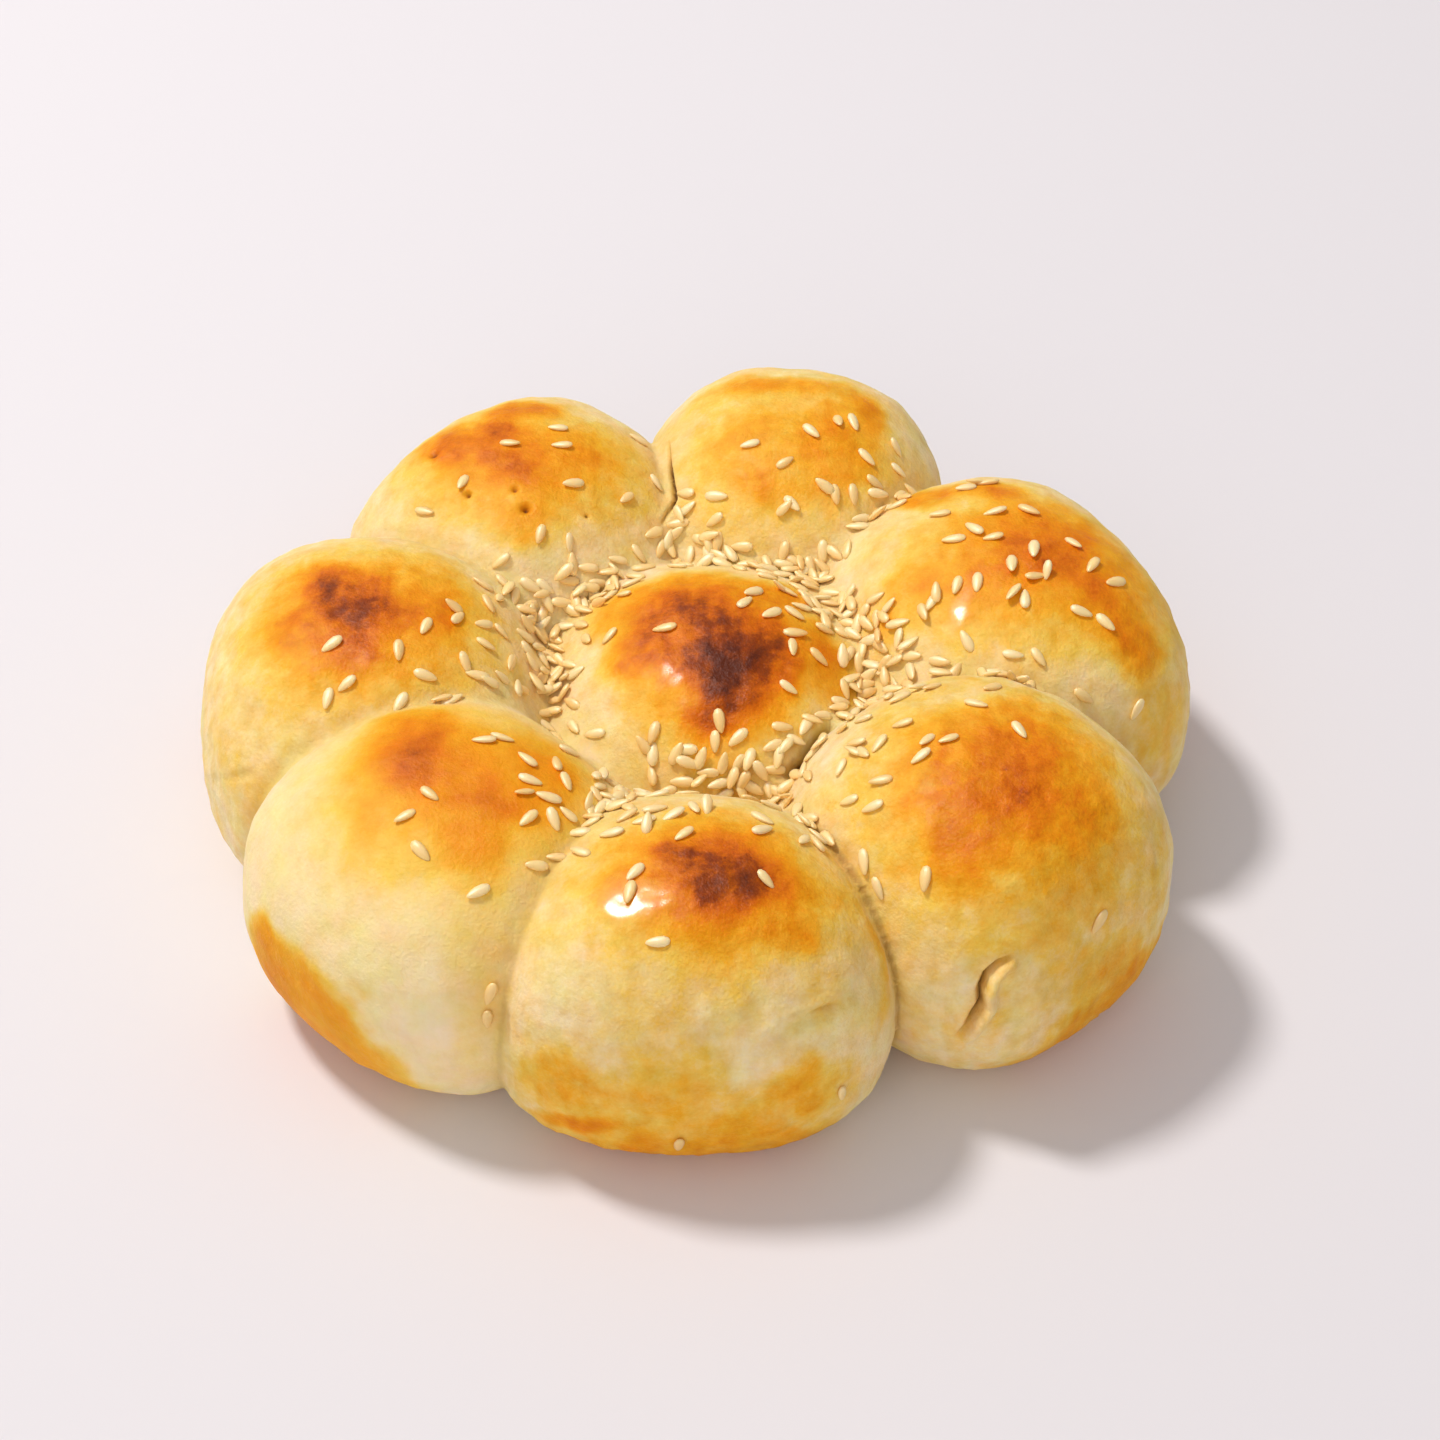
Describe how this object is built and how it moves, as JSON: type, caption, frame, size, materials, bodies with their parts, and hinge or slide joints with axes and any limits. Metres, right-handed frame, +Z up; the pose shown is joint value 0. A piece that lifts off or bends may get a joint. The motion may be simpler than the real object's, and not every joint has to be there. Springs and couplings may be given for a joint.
{
  "type": "honeycomb bread loaf",
  "caption": "Pull-apart honeycomb bread: a ring of fused round buns around a centre bun, with browned tops, a flat baked base and sesame in the valleys.",
  "frame": {"origin": "middle of the bounding box of the flat baked base, on the surface the loaf stands on", "axes": "+Z up through the tops of the buns; +X to the right and -Y towards the viewer in the reference view, with one bun of the ring at -Y"},
  "size_m": [0.1296, 0.1268, 0.0382],
  "materials": {
    "crust": "baked crust, pale cream on the sides to golden and dark brown on the tops, with a thin egg-wash gloss",
    "sesame": "lightly toasted hulled sesame seed, satin"
  },
  "bodies": {
    "root": {"loaf": "crust"}
  },
  "joints": []
}
